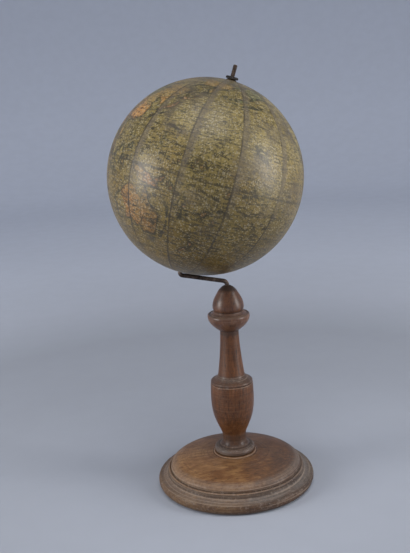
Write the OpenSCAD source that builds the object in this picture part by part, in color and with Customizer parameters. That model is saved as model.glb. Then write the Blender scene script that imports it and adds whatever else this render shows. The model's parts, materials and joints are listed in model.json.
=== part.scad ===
// Small terrestrial globe on a turned wooden stand.
// The papered ball spins on a bent iron wire whose stem is driven into the
// acorn finial of the stand. A knurled thumb nut holds the ball on the wire.
// Millimetres. Origin: centre of the base's underside, on the column's axis.
// +Z is up, and the globe's axis leans towards +X.

/* [Ball] */
// Diameter over the paper
ball_d = 150; // [120:1:180]
// Thickness of the printed paper
paper_t = 0.3; // [0.2:0.05:0.5]
// Thickness of the plaster ground under the paper
plaster_t = 2; // [1:0.1:4]
// Thickness of the pulp hemispheres
pulp_t = 2.5; // [1.5:0.1:5]
// Gap between layers, where the paste is
paste_t = 0.1; // [0.08:0.01:0.2]
// Gap between neighbouring gores at the equator
seam_w = 0.25; // [0.1:0.05:0.6]
// Latitude where the gores stop and the polar caps begin
cap_lat = 79; // [72:0.5:84]
// Height of the paper strip that joins the hemispheres inside
strip_h = 18; // [10:1:30]
// Thickness of the joining strip
strip_t = 0.6; // [0.4:0.1:1.5]
// Diameter of the wooden blocks inside the poles
block_d = 26; // [18:1:36]
// Depth of the wooden blocks, from the shell's inside
block_h = 9; // [6:0.5:14]

/* [Pole eyelets] */
// Diameter of the eyelet's flange
flange_d = 8.4; // [7:0.1:11]
// Thickness of the flange
flange_t = 0.6; // [0.4:0.1:1.2]
// Outside diameter of the eyelet's tube
tube_d = 5.2; // [4.8:0.1:6.5]
// Length of the tube below the flange
tube_l = 14; // [10:0.5:20]

/* [Wire axle] */
// Diameter of the iron wire
wire_d = 3.4; // [3:0.1:4]
// Radial play of the eyelets and the nut on the wire
wire_play = 0.05; // [0.02:0.01:0.1]
// Lean of the globe's axis from upright, in degrees
axis_lean = 18.7; // [12:0.1:26]
// Height of the bend above the finial, at the wire's centre
arm_z = 170.4; // [168:0.1:180]
// How far the arm reaches out from the column
arm_reach = 38.2; // [30:0.1:50]
// How much the arm rises along its reach
arm_rise = 9.4; // [4:0.1:16]
// Bend radius above the finial, at the wire's centre
foot_bend_r = 4; // [3:0.1:4]
// Bend radius below the ball, at the wire's centre
pole_bend_r = 2.5; // [2:0.1:4]
// How much the wire swells at a bend, on its radius
bend_swell = 0.04; // [0.02:0.01:0.1]
// Gap between the lower eyelet and the start of the bend
bend_gap = 0.2; // [0.1:0.05:0.5]
// Length of the threaded end above the ball
rod_above = 12; // [9:0.5:16]
// How deep the stem is driven into the finial
stem_depth = 30; // [20:1:34]
// Chamfer on the rod's end
rod_chamfer = 0.5; // [0.2:0.1:0.8]

/* [Washer and thumb nut] */
// Washer diameter
washer_d = 7.4; // [6:0.1:10]
// Washer thickness
washer_t = 0.5; // [0.4:0.1:1.2]
// Diameter of the nut's collar
collar_d = 5.8; // [5.4:0.1:8]
// Height of the collar
collar_h = 0.4; // [0.3:0.1:3]
// Diameter over the knurled rim
nut_d = 9.6; // [8.4:0.1:14]
// Height of the knurled rim
nut_h = 1.7; // [1.4:0.1:4]
// Number of grooves in the knurl
knurl_n = 26; // [16:1:36]
// Depth of the knurl's grooves
knurl_depth = 0.3; // [0.2:0.05:0.4]
// Play between the ball, the washer and the nut
stack_play = 0.05; // [0.03:0.01:0.15]

/* [Base] */
// Base diameter, over the rim
base_d = 128.4; // [110:0.2:150]
// Height of the rim's round moulding
rim_h = 8.7; // [7:0.1:12]
// Radius of the turned groove round the dome
groove_r = 54; // [48:0.1:58]
// Height of the groove's floor
groove_z = 14.5; // [12:0.1:16]
// Rise of the dome from its edge to its crown
dome_h = 10.6; // [6:0.1:14]
// Radius of the raised seat under the column
seat_r = 17.3; // [17:0.1:24]
// Height of the seat's top face
seat_z = 26.9; // [26.3:0.1:34]

/* [Column] */
// Diameter of the round bead at the column's foot
foot_d = 32.8; // [28:0.2:33.2]
// Diameter of the narrow waist above the foot
waist_d = 19; // [14:0.2:22]
// Largest diameter of the vase
vase_d = 34.9; // [28:0.1:42]
// Height of the groove at the vase's shoulder
shoulder_z = 86.9; // [82:0.1:90]
// Diameter of the neck where it leaves the shoulder
neck_low_d = 21.4; // [18:0.2:25]
// Diameter of the neck under the cup
neck_top_d = 14.9; // [12:0.1:18]
// Height of the joint between column and finial
joint_z = 129.5; // [126:0.5:132]
// Diameter of the peg at the column's foot
foot_peg_d = 15; // [10:0.5:20]
// Length of that peg
foot_peg_l = 13; // [8:0.5:18]

/* [Acorn finial] */
// Diameter over the cup's rim
cup_d = 33.8; // [28:0.2:40]
// Height of the cup's rim
cup_z = 144.2; // [142:0.1:147]
// Largest diameter of the acorn
acorn_d = 25; // [20:0.2:27]
// Height of the acorn's tip
acorn_z = 167.2; // [164:0.2:167.2]
// Diameter of the finial's peg
finial_peg_d = 8; // [6:0.2:10]
// Length of that peg
finial_peg_l = 12; // [8:0.5:16]

/* [Hidden] */
// Gores round the ball, one node each
GORES = 12;
// Play round a glued peg, and below its end
peg_play = 0.05;
peg_end = 0.5;
// Play of the driven stem in its hole
stem_play = 0.03;
// How far a straight length of wire reaches into a bend
bend_lap = 0.2;
// Chamfer on small metal edges
edge = 0.25;
// Facets of a full circle
$fn = 128;
// Steps along a curved outline
STEPS = 14;

ball_r = ball_d / 2;
wire_r = wire_d / 2;
bore_r = wire_r + wire_play;
plaster_r = ball_r - paper_t - paste_t;
pulp_r = plaster_r - plaster_t - paste_t;
hollow_r = pulp_r - pulp_t;
// Flat seat of the eyelet's flange on the plaster
flange_seat = plaster_r + 0.05;
flange_top = flange_seat + flange_t;
tube_hole_r = tube_d / 2 + peg_play;
cap_hole_r = flange_d / 2 + 0.15;

// The wire's bends: arm slope, turns and tangent lengths
arm_slope = atan2(arm_rise, arm_reach);
foot_turn = 90 - arm_slope;
pole_turn = 90 + axis_lean - arm_slope;
foot_tangent = foot_bend_r * tan(foot_turn / 2);
pole_tangent = pole_bend_r * tan(pole_turn / 2);
arm_l = norm([arm_reach, arm_rise]);
axis_dir = [sin(axis_lean), 0, cos(axis_lean)];
// The corner where the arm's centre line meets the globe's axis
corner = [-arm_reach, 0, arm_z + arm_rise];
corner_drop = flange_top + bend_gap + pole_tangent;
ball_c = corner + corner_drop * axis_dir;

washer_z = flange_top + stack_play;
collar_z = washer_z + washer_t + stack_play;
rim_z = collar_z + collar_h;
rod_end = ball_r + rod_above;

function gore_name(i) = str("gore_", i < 10 ? "0" : "", i);

// Points of a cubic curve from a to d, steered by b and c, without its first point
function curve(a, b, c, d) = [for (i = [1:STEPS]) let (t = i / STEPS, s = 1 - t)
    s * s * s * a + 3 * s * s * t * b + 3 * s * t * t * c + t * t * t * d];

// Points of an arc round c, without its first point
function arc(c, r, a0, a1) = [for (i = [1:STEPS]) let (a = a0 + (a1 - a0) * i / STEPS)
    c + r * [cos(a), sin(a)]];

// A dome from its crown to its foot: a rounded square's quarter, higher at the shoulders than a circle's
function dome(r, z, h, squareness) = [for (i = [0:2 * STEPS]) let (a = 90 - 90 * i / (2 * STEPS))
    [r * pow(cos(a), squareness), z + h * sin(a)]];

module turned(points) rotate_extrude() polygon(points);

module on_axis() translate(ball_c) rotate([0, axis_lean, 0]) children();

// A half-section of the ball between two radii
module layer(outer, inner) {
    difference() {
        circle(outer);
        circle(inner);
    }
}

module right_of(x, low, high) translate([x, low]) square([ball_r + 1 - x, high - low]);

module base() {
    rim_r = base_d / 2;
    edge_r = groove_r - 0.4;
    edge_z = groove_z + 1.1;
    bead_c = [groove_r + 1.05, groove_z - 1.25];
    bead_r = 1.15;
    cove_r = bead_c[0] + bead_r;
    crown = [for (p = dome(edge_r, edge_z, dome_h, 0.8)) if (p[0] > seat_r) p];
    color("#7a4a30")
    difference() {
        turned(concat([[0, 0], [rim_r - 5, 0]],
            curve([rim_r - 5, 0], [rim_r - 2.2, 0], [rim_r, 0.25 * rim_h], [rim_r, 0.6 * rim_h]),
            curve([rim_r, 0.6 * rim_h], [rim_r, 0.85 * rim_h], [rim_r - 0.8, rim_h], [rim_r - 2.3, rim_h]),
            curve([rim_r - 2.3, rim_h], [cove_r + 2.4, rim_h + 0.1], [cove_r + 0.2, bead_c[1] - 2.8],
                [cove_r - 0.2, bead_c[1] - 0.8]),
            arc(bead_c, bead_r, -25, 140),
            [[groove_r, groove_z - 0.4], [groove_r - 0.2, groove_z - 0.2], [edge_r + 0.05, groove_z + 0.4]],
            [for (i = [len(crown) - 1:-1:0]) crown[i]],
            [[seat_r, seat_z - 0.5], [seat_r - 0.5, seat_z], [0, seat_z]]));
        translate([0, 0, seat_z - foot_peg_l - peg_end])
            cylinder(h = foot_peg_l + peg_end + 1, d = foot_peg_d + 2 * peg_play);
    }
}

module pillar() {
    foot_r = foot_d / 2;
    bead_r = 2.7;
    waist_r = waist_d / 2;
    vase_r = vase_d / 2;
    neck_r = neck_low_d / 2;
    cavetto_z = seat_z + 2 * bead_r + 0.3;
    waist_z = seat_z + 15;
    color("#6d4029")
    difference() {
        turned(concat([[0, seat_z - foot_peg_l], [foot_peg_d / 2, seat_z - foot_peg_l],
                [foot_peg_d / 2, seat_z], [foot_r - bead_r, seat_z]],
            arc([foot_r - bead_r, seat_z + bead_r], bead_r, -90, 90),
            [[foot_r - bead_r - 0.4, seat_z + 2 * bead_r], [foot_r - bead_r - 0.4, cavetto_z]],
            curve([foot_r - bead_r - 0.7, cavetto_z], [waist_r + 1.6, cavetto_z + 0.5],
                [waist_r, cavetto_z + 2.8], [waist_r, cavetto_z + 6]),
            curve([waist_r, waist_z], [waist_r + 0.6, waist_z + 5], [vase_r - 0.6, waist_z + 12],
                [vase_r - 0.1, waist_z + 28]),
            curve([vase_r - 0.1, waist_z + 28], [vase_r + 0.1, waist_z + 33], [vase_r, waist_z + 37],
                [vase_r - 0.25, shoulder_z - 1.9]),
            [[vase_r - 0.45, shoulder_z - 0.7], [vase_r - 0.9, shoulder_z - 0.3],
                [vase_r - 0.9, shoulder_z + 0.1], [vase_r - 0.6, shoulder_z + 0.4]],
            curve([vase_r - 0.55, shoulder_z + 0.5], [vase_r - 0.45, shoulder_z + 1.2],
                [vase_r - 0.9, shoulder_z + 1.6], [vase_r - 1.7, shoulder_z + 1.8]),
            curve([vase_r - 1.7, shoulder_z + 1.8], [neck_r + 2.6, shoulder_z + 2.5],
                [neck_r + 0.5, shoulder_z + 4], [neck_r, shoulder_z + 6.8]),
            curve([neck_r, shoulder_z + 6.8], [neck_r - 0.85, shoulder_z + 12.6],
                [neck_top_d / 2 + 0.45, joint_z - 17.5], [neck_top_d / 2, joint_z]),
            [[0, joint_z]]));
        translate([0, 0, joint_z - finial_peg_l - peg_end])
            cylinder(h = finial_peg_l + peg_end + 1, d = finial_peg_d + 2 * peg_play);
    }
}

module acorn_finial() {
    neck_r = neck_top_d / 2;
    cup_r = cup_d / 2;
    acorn_r = acorn_d / 2;
    dish_r = acorn_r - 1;
    dish_z = cup_z + 2.4;
    belly_z = dish_z + 3.6;
    shoulder_r = 0.64 * acorn_r;
    color("#744632")
    difference() {
        turned(concat([[0, joint_z - finial_peg_l], [finial_peg_d / 2, joint_z - finial_peg_l],
                [finial_peg_d / 2, joint_z], [neck_r, joint_z], [neck_r + 0.1, joint_z + 0.9]],
            curve([neck_r + 0.1, joint_z + 0.9], [neck_r + 3, joint_z + 3.1], [cup_r - 0.3, joint_z + 6.9],
                [cup_r, cup_z - 1.8]),
            curve([cup_r, cup_z - 1.8], [cup_r, cup_z - 0.4], [cup_r - 0.6, cup_z], [cup_r - 1.3, cup_z]),
            [[cup_r - 1.8, cup_z - 0.15], [cup_r - 2.2, cup_z - 0.2]],
            curve([cup_r - 2.5, cup_z - 0.1], [cup_r - 3.6, cup_z + 0.4], [dish_r + 0.8, dish_z - 1],
                [dish_r + 0.3, dish_z]),
            [[dish_r, dish_z + 0.1], [dish_r, dish_z + 0.4]],
            curve([dish_r + 0.1, dish_z + 0.6], [acorn_r - 0.3, dish_z + 1.4], [acorn_r, dish_z + 2.4],
                [acorn_r, belly_z]),
            curve([acorn_r, belly_z], [acorn_r - 0.1, belly_z + 5], [shoulder_r + 1.9, acorn_z - 8.6],
                [shoulder_r, acorn_z - 5.2]),
            curve([shoulder_r, acorn_z - 5.2], [shoulder_r - 1, acorn_z - 3.2],
                [wire_r + 2.9, acorn_z - 0.8], [wire_r + 0.6, acorn_z]),
            [[0, acorn_z]]));
        translate([0, 0, arm_z - stem_depth - peg_end])
            cylinder(h = stem_depth + peg_end + 1, r = wire_r + stem_play);
    }
}

// A round bend in the XZ plane round the centre c, with radius r, from angle a0 through turn
module bend(c, r, a0, turn) {
    translate(c)
    rotate([90, 0, 0])
    rotate_extrude(angle = turn, start = a0)
    translate([r, 0])
    circle(wire_r + bend_swell);
}

module axle_rod() {
    stem_top = arm_z - foot_tangent;
    arm_dir = [-cos(arm_slope), 0, sin(arm_slope)];
    arm_start = [0, 0, arm_z] + (foot_tangent - bend_lap) * arm_dir;
    arm_end = corner - pole_tangent * arm_dir;
    inward = [sin(arm_slope), 0, cos(arm_slope)];
    shaft_from = pole_tangent - corner_drop - bend_lap;
    color("#2e2826")
    union() {
        translate([0, 0, arm_z - stem_depth])
            cylinder(h = stem_top + bend_lap - (arm_z - stem_depth), r = wire_r);
        bend([-foot_bend_r, 0, stem_top], foot_bend_r, 0, foot_turn);
        translate(arm_start)
            rotate([0, -(90 - arm_slope), 0])
            cylinder(h = arm_l - foot_tangent - pole_tangent + 2 * bend_lap, r = wire_r);
        bend(arm_end + pole_bend_r * inward, pole_bend_r, 180 - axis_lean, pole_turn);
        on_axis()
        rotate_extrude()
            polygon([[0, shaft_from], [wire_r, shaft_from], [wire_r, rod_end - rod_chamfer],
                [wire_r - rod_chamfer, rod_end], [0, rod_end]]);
    }
}

// One half of the pulp shell, with a hole at its pole. side is 1 for north and -1 for south
module hemisphere(side) {
    on_axis()
    rotate_extrude()
    intersection() {
        layer(pulp_r, hollow_r);
        right_of(tube_hole_r, side > 0 ? 0 : -ball_r, side > 0 ? ball_r : 0);
    }
}

module joining_strip() {
    color("#b9a27a")
    on_axis()
    rotate_extrude()
    intersection() {
        layer(hollow_r - paste_t, hollow_r - paste_t - strip_t);
        right_of(1, -strip_h / 2, strip_h / 2);
    }
}

// A wooden block glued inside a pole, which holds the eyelet
module block(side) {
    color("#a98a5c")
    on_axis()
    mirror([0, 0, side > 0 ? 0 : 1])
    rotate_extrude()
    intersection() {
        circle(hollow_r - paste_t);
        translate([tube_hole_r, hollow_r - paste_t - block_h])
            square([block_d / 2 - tube_hole_r, block_h + 1]);
    }
}

module plaster_coat() {
    color("#cfc7b4")
    on_axis()
    rotate_extrude()
    intersection() {
        layer(plaster_r, plaster_r - plaster_t);
        right_of(tube_hole_r, -ball_r, ball_r);
    }
}

module eyelet(side) {
    color("#4a3f36")
    on_axis()
    mirror([0, 0, side > 0 ? 0 : 1])
    rotate_extrude()
        polygon([[bore_r, flange_seat - tube_l], [tube_d / 2, flange_seat - tube_l],
            [tube_d / 2, flange_seat], [flange_d / 2, flange_seat],
            [flange_d / 2, flange_top - edge], [flange_d / 2 - edge, flange_top],
            [bore_r, flange_top]]);
}

// A round paper cap over the tips of the gores
module cap(side) {
    color("#8a7f4f")
    on_axis()
    mirror([0, 0, side > 0 ? 0 : 1])
    rotate_extrude()
    intersection() {
        layer(ball_r, ball_r - paper_t);
        translate([cap_hole_r, 0])
            square([ball_r * cos(cap_lat) - seam_w - cap_hole_r, ball_r + 1]);
    }
}

// One printed gore: a lune of paper between two meridians. The gaps between gores are parallel slits,
// so each gore is a half-section that swings through its angle and stops short of the polar caps.
module gore(i) {
    step = 360 / GORES;
    slit = seam_w / ball_r * 180 / PI;
    reach = ball_r + 1;
    color((i % 2 == 0) ? "#8d7f4a" : "#958651")
    on_axis()
    rotate_extrude(angle = step - slit, start = (i - 1) * step + slit / 2)
    intersection() {
        layer(ball_r, ball_r - paper_t);
        polygon([[0, 0], [reach * cos(cap_lat), -reach * sin(cap_lat)], [reach, -reach],
            [reach, reach], [reach * cos(cap_lat), reach * sin(cap_lat)]]);
    }
}

module north_washer() {
    color("#3b3430")
    on_axis()
    rotate_extrude()
        polygon([[bore_r, washer_z], [washer_d / 2 - edge / 2, washer_z],
            [washer_d / 2, washer_z + edge / 2], [washer_d / 2, washer_z + washer_t - edge],
            [washer_d / 2 - edge, washer_z + washer_t], [bore_r, washer_z + washer_t]]);
}

module thumb_nut() {
    nut_r = nut_d / 2;
    nut_top = rim_z + nut_h;
    groove = 2 * knurl_depth;
    color("#332d2b")
    on_axis()
    difference() {
        rotate_extrude()
            polygon([[bore_r, collar_z], [collar_d / 2 - edge, collar_z], [collar_d / 2, collar_z + edge],
                [collar_d / 2, rim_z], [nut_r - edge, rim_z], [nut_r, rim_z + edge],
                [nut_r, nut_top - 2 * edge], [nut_r - 2 * edge, nut_top], [bore_r, nut_top]]);
        for (i = [0:knurl_n - 1])
            rotate([0, 0, i * 360 / knurl_n])
            translate([nut_r + groove - knurl_depth, 0, rim_z - 1])
            cylinder(h = nut_h + 2, r = groove, $fn = 24);
    }
}

base();
pillar();
acorn_finial();
axle_rod();
color("#c9b48a") hemisphere(-1);  // south_hemisphere
color("#c9b48a") hemisphere(1);  // north_hemisphere
joining_strip();
block(-1);  // south_block
block(1);  // north_block
plaster_coat();
eyelet(-1);  // south_eyelet
eyelet(1);  // north_eyelet
cap(-1);  // south_cap
cap(1);  // north_cap
north_washer();
thumb_nut();
for (i = [1:GORES]) gore(i);
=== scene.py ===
"""A small terrestrial globe: aged papered ball, bent iron wire, turned wooden stand.

The ball's paper is rebuilt as twelve gores and two caps with a printed map on them, and the wire
gets its thread. The other solids stay and get materials. Lengths are in metres, and places on the
map are degrees of longitude and latitude.
"""
import json
import math

import bpy
import numpy as np
from mathutils import Matrix, Vector


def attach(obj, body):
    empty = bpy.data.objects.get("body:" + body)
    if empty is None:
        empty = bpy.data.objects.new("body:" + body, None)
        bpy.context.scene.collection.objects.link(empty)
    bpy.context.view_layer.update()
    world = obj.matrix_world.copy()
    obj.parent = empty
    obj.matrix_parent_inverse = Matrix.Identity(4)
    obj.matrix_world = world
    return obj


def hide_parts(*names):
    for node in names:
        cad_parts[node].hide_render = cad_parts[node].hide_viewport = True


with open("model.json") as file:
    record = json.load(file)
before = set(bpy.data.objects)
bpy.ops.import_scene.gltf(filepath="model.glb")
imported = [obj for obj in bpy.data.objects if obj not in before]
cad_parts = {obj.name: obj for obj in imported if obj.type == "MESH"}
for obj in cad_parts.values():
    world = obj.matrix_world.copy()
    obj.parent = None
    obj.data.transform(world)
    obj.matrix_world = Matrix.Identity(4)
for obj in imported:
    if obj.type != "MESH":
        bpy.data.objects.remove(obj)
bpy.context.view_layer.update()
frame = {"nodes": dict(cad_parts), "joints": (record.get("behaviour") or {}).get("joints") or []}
nodes = frame["nodes"]

MM = 0.001

# Places and sizes shared with the solids
SPIN = next(joint for joint in frame["joints"] if joint["name"] == "globe_spin")
BALL_CENTRE = Vector(SPIN["pos_m"])
AXIS = Vector(SPIN["axis"]).normalized()
LEAN = math.atan2(AXIS.x, AXIS.z)
BALL_FRAME = Matrix.Translation(BALL_CENTRE) @ Matrix.Rotation(LEAN, 4, "Y")
BALL_R = 75 * MM
PAPER_T = 0.3 * MM
GORES = 12
SEAM_W = 0.08 * MM  # paste and dirt fill most of the solids' slit
CAP_LAT_DEG = 79
CAP_HOLE_R = 4.35 * MM
WIRE_R = 1.7 * MM
FOOT_BEND_R = 4 * MM
POLE_BEND_R = 2.5 * MM
STEM_BOTTOM = 140.4 * MM
ARM_Z = 170.4 * MM
ARM_REACH = 38.2 * MM
ARM_RISE = 9.4 * MM
ROD_END = 87 * MM
ROD_CHAMFER_L = 0.5 * MM
ROD_CHAMFER_R = 0.45 * MM
THREAD_START = 75.7 * MM
THREAD_PITCH = 0.8 * MM
THREAD_DEPTH = 0.3 * MM

# The photograph's camera, fitted to the object's outline
CAMERA_AT = Vector((-0.17689, -0.64832, 0.33760))
CAMERA_FORWARD = Vector((0.23186, 0.94394, -0.23497))
CAMERA_UP = Vector((0.10815, 0.21504, 0.97060))
SENSOR_MM = 36
LENS_MM = 56.96

# Studio: a round floor that sweeps up into a wall, the paper's tone by distance along it from the
# middle, which paints light and shade on it, a faint world light, and the place that the lamps look at
FLOOR_R = 1.5
SWEEP_R = 0.9
WALL_TOP = 2.6
STAGE_SIDES = 96
SWEEP_STEPS = 12
PAPER_BLUE = (0.428, 0.461, 0.535)
# Painted light and shade on the floor: its tone, as a share of PAPER_BLUE, by distance from the middle
PAINTED_LIGHT_TONES = [(0.0, 0.88), (0.12, 0.86), (0.27, 0.74), (0.42, 0.74), (0.6, 1.06), (0.85, 1.34),
         (1.2, 1.5), (1.7, 1.6), (2.2, 1.55), (2.85, 1.34), (3.5, 1.3)]
WORLD_COLOUR = (0.68, 0.685, 0.7, 1)
WORLD_STRENGTH = 0.32
LAMP_TARGET = Vector((0, 0, 0.2))


# Objects and meshes

def add_object(name, data):
    new = bpy.data.objects.new(name, data)
    bpy.context.scene.collection.objects.link(new)
    return new


def smooth_mesh(name, points, faces, sharp_deg=180):
    """A smooth-shaded mesh whose edges sharper than sharp_deg stay hard."""
    mesh = bpy.data.meshes.new(name)
    mesh.from_pydata(points, [], faces)
    mesh.shade_smooth()
    if sharp_deg < 180:
        mesh.set_sharp_from_angle(angle=math.radians(sharp_deg))
    return mesh


def tube_faces(rings, sides):
    """Faces between rings of points that follow each other in the mesh, sides points each."""
    faces = []
    for ring in range(rings - 1):
        for side in range(sides):
            a = ring * sides + side
            b = ring * sides + (side + 1) % sides
            faces.append((a, b, b + sides, a + sides))
    return faces


# Camera, lamps, floor

def make_camera():
    forward = CAMERA_FORWARD.normalized()
    right = forward.cross(CAMERA_UP).normalized()
    up = right.cross(forward)
    lens = bpy.data.cameras.new("photo_camera")
    lens.sensor_fit = "VERTICAL"
    lens.sensor_height = SENSOR_MM
    lens.lens = LENS_MM
    camera = add_object("photo_camera", lens)
    turn = Matrix((right, up, -forward)).transposed()
    camera.matrix_world = Matrix.Translation(CAMERA_AT) @ turn.to_4x4()
    bpy.context.scene.camera = camera


def make_lamp(name, azimuth_deg, height, distance, size, power, colour):
    """A softbox that looks at the object. Azimuth 0 is the photograph's side, 90 its right."""
    towards = Vector((-CAMERA_FORWARD.x, -CAMERA_FORWARD.y, 0)).normalized()
    towards.rotate(Matrix.Rotation(math.radians(azimuth_deg), 3, "Z"))
    data = bpy.data.lights.new(name, "AREA")
    data.shape = "RECTANGLE"
    data.size, data.size_y = size
    data.energy = power
    data.color = colour
    lamp = add_object(name, data)
    lamp.location = towards * distance + Vector((0, 0, height))
    lamp.rotation_euler = (LAMP_TARGET - lamp.location).to_track_quat("-Z", "Y").to_euler()
    lamp.visible_camera = False


def make_stage():
    """A round floor that curves up into a wall, the same from every side."""
    profile = [(0.3, 0.0), (0.8, 0.0), (FLOOR_R, 0.0)]
    for step in range(1, SWEEP_STEPS + 1):
        angle = math.radians(90 * step / SWEEP_STEPS)
        profile.append((FLOOR_R + SWEEP_R * math.sin(angle), SWEEP_R * (1 - math.cos(angle))))
    profile.append((FLOOR_R + SWEEP_R, WALL_TOP))
    points = []
    for radius, height in profile:
        for side in range(STAGE_SIDES):
            angle = 2 * math.pi * side / STAGE_SIDES
            points.append((radius * math.cos(angle), radius * math.sin(angle), height))
    faces = [(a, d, c, b) for a, b, c, d in tube_faces(len(profile), STAGE_SIDES)]
    middle = len(points)
    points.append((0, 0, 0))
    faces += [(middle, side, (side + 1) % STAGE_SIDES) for side in range(STAGE_SIDES)]
    floor = add_object("studio_floor", smooth_mesh("studio_floor", points, faces))
    floor.data.materials.append(floor_material())


def make_world():
    world = bpy.data.worlds.new("studio")
    bpy.context.scene.world = world
    world.use_nodes = True
    background = world.node_tree.nodes["Background"]
    background.inputs["Color"].default_value = WORLD_COLOUR
    background.inputs["Strength"].default_value = WORLD_STRENGTH


# Node trees

class Field:
    """A number that varies over a surface: a node's output, with arithmetic."""

    def __init__(self, shader, socket):
        self.shader = shader
        self.socket = socket

    def __add__(self, other):
        return self.shader.math("ADD", self, other)

    __radd__ = __add__

    def __sub__(self, other):
        return self.shader.math("SUBTRACT", self, other)

    def __rsub__(self, other):
        return self.shader.math("SUBTRACT", other, self)

    def __mul__(self, other):
        return self.shader.math("MULTIPLY", self, other)

    __rmul__ = __mul__

    def __truediv__(self, other):
        return self.shader.math("DIVIDE", self, other)

    def __abs__(self):
        return self.shader.math("ABSOLUTE", self)

    def step(self, start, end):
        """Smooth from 0 at start to 1 at end. Start may be the larger."""
        inputs = {"Value": self, "From Min": start, "From Max": end}
        return self.shader.field("ShaderNodeMapRange", "Result", inputs,
                                 interpolation_type="SMOOTHSTEP")

    def line(self, half_width, blur):
        """1 near zero, 0 away from it."""
        return abs(self).step(half_width + blur, half_width)


SOCKETS = {"metallic": "Metallic", "roughness": "Roughness", "ior": "IOR", "normal": "Normal",
           "coat_weight": "Coat Weight", "coat_roughness": "Coat Roughness",
           "coat_normal": "Coat Normal"}


class Shader:
    """A Principled material, and short calls that add nodes to it.

    Its textures lie in axes given as a matrix, and stretch draws them out. colour is the surface's
    colour so far.
    """

    def __init__(self, name, axes=Matrix(), stretch=(1, 1, 1), **sockets):
        self.material = bpy.data.materials.new(name)
        self.material.use_nodes = True
        self.tree = self.material.node_tree
        self.surface = self.tree.nodes["Principled BSDF"]
        for socket, value in sockets.items():
            self.surface.inputs[SOCKETS[socket]].default_value = value
        inputs = {"Vector": self.field("ShaderNodeTexCoord", "Object"), "Scale": stretch,
                  "Location": axes.to_translation(), "Rotation": axes.to_euler()}
        self.place = self.field("ShaderNodeMapping", "Vector", inputs, vector_type="TEXTURE")
        self.colour = None

    def feed(self, socket, value):
        if isinstance(value, Field):
            self.tree.links.new(value.socket, socket)
        elif isinstance(value, tuple) and len(value) == 3 and socket.type == "RGBA":
            socket.default_value = (*value, 1)
        else:
            socket.default_value = value

    def node(self, kind, inputs, **settings):
        """A new node, with values or fields for its inputs, by name or number."""
        new = self.tree.nodes.new(kind)
        for name, value in settings.items():
            setattr(new, name, value)
        for key, value in inputs.items():
            self.feed(new.inputs[key], value)
        return new

    def field(self, kind, output, inputs=None, **settings):
        """An output of a new node."""
        return Field(self, self.node(kind, inputs or {}, **settings).outputs[output])

    def math(self, operation, *values):
        return self.field("ShaderNodeMath", 0, dict(enumerate(values)), operation=operation)

    def most(self, *values):
        top = values[0]
        for value in values[1:]:
            top = self.math("MAXIMUM", top, value)
        return top

    def coat(self, amount, colour, blend="MIX"):
        """Lays a colour over the one so far."""
        inputs = {0: amount, 6: self.colour, 7: colour}
        self.colour = self.field("ShaderNodeMix", 2, inputs, data_type="RGBA", blend_type=blend)

    def split(self, vector):
        node = self.node("ShaderNodeSeparateXYZ", {0: vector})
        return [Field(self, output) for output in node.outputs]

    def join(self, *parts):
        return self.field("ShaderNodeCombineXYZ", 0, dict(enumerate(parts)))

    def noise(self, scale, detail=3.0, roughness=0.5, where=None):
        inputs = {"Vector": where or self.place, "Scale": scale, "Detail": detail,
                  "Roughness": roughness}
        return self.field("ShaderNodeTexNoise", "Fac", inputs)

    def white(self, where):
        """A random number for each whole-numbered place."""
        return self.field("ShaderNodeTexWhiteNoise", "Value", {"Vector": where}, noise_dimensions="2D")

    def cells(self, scale, where=None, randomness=1.0, **settings):
        """The node of a pattern of scattered cells."""
        inputs = {"Vector": where or self.place, "Scale": scale, "Randomness": randomness}
        return self.node("ShaderNodeTexVoronoi", inputs, **settings)

    def attribute(self, name, output="Fac"):
        return self.field("ShaderNodeAttribute", output, attribute_name=name)

    def ramp(self, value, stops):
        """Starts the colour with a ramp of (position, colour) pairs."""
        node = self.node("ShaderNodeValToRGB", {0: value})
        elements = node.color_ramp.elements
        while len(elements) < len(stops):
            elements.new(0.5)
        for element, (position, colour) in zip(elements, stops):
            element.position = position
            element.color = (*colour, 1)
        self.colour = Field(self, node.outputs["Color"])

    def bump(self, height, depth, strength):
        """Relief from a height. depth is what a height of 1 stands for, in metres."""
        inputs = {"Strength": strength, "Distance": depth, "Height": height}
        return self.field("ShaderNodeBump", "Normal", inputs)

    def finish(self, **fields):
        for name, field in fields.items():
            self.feed(self.surface.inputs[SOCKETS[name]], field)
        self.feed(self.surface.inputs["Base Color"], self.colour)
        return self.material


def scaled(colour, share):
    return tuple(channel * share for channel in colour)


def floor_material():
    """Pale grey-blue paper, with painted light and shade: darker in a ring a little way out from the
    middle, and lighter where it leaves the table, as in the photograph.
    """
    shader = Shader("studio_paper", roughness=0.9)
    x, y, z = shader.split(shader.place)
    reach = shader.math("SQRT", x * x + y * y) + z
    furthest = PAINTED_LIGHT_TONES[-1][0]
    # The ramp paints shade from 0.27 to 0.42 m out and more light further out
    shader.ramp(reach / furthest, [(at / furthest, scaled(PAPER_BLUE, tone)) for at, tone in PAINTED_LIGHT_TONES])
    shader.coat(shader.noise(40, 4).step(0.3, 0.7) * 0.04, (0.2, 0.22, 0.26))
    return shader.finish()


# Wood

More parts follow.
